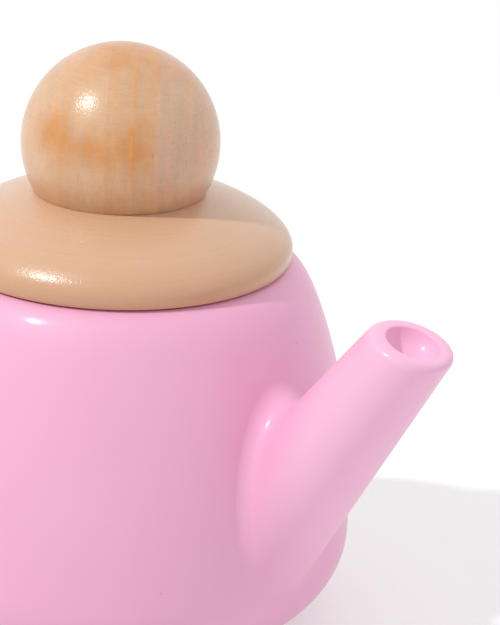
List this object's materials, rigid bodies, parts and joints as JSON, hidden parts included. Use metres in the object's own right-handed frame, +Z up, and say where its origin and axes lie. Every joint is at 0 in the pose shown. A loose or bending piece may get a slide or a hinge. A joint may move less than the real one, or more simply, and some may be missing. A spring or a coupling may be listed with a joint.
{
  "type": "toy teapot",
  "caption": "Wooden toy teapot with a bellied pink body, straight spout, round bar handle and a lift-off domed lid with a ball knob, for pretend tea.",
  "frame": {"origin": "centre of the flat foot, on the surface that the teapot stands on", "axes": "+Z up along the turned body's axis, +X towards the spout, handle at -X"},
  "size_m": [0.1705, 0.1, 0.1229],
  "materials": {
    "pink_lacquer": "satin lacquer",
    "beige_lacquer": "satin lacquer",
    "varnished_wood": "clear varnish",
    "bare_wood": "bare"
  },
  "bodies": {
    "pot": {"pot_body": "pink_lacquer", "spout": "pink_lacquer", "spout_dowel": "bare_wood", "spout_bead": "pink_lacquer", "handle": "pink_lacquer", "handle_upper_bead": "pink_lacquer", "handle_lower_bead": "pink_lacquer"},
    "lid_pin": {"knob_dowel": "bare_wood"},
    "lid": {"lid": "beige_lacquer", "lid_spigot": "beige_lacquer", "knob": "varnished_wood"}
  },
  "joints": [
    {"name": "lid_lift", "type": "slide", "parent": "pot", "child": "lid_pin", "axis": [0, 0, 1], "range_m": [0, 0.06]},
    {"name": "lid_turn", "type": "hinge", "parent": "lid_pin", "child": "lid", "pos_m": [0, 0, 0.09265], "axis": [0, 0, 1], "continuous": true}
  ]
}
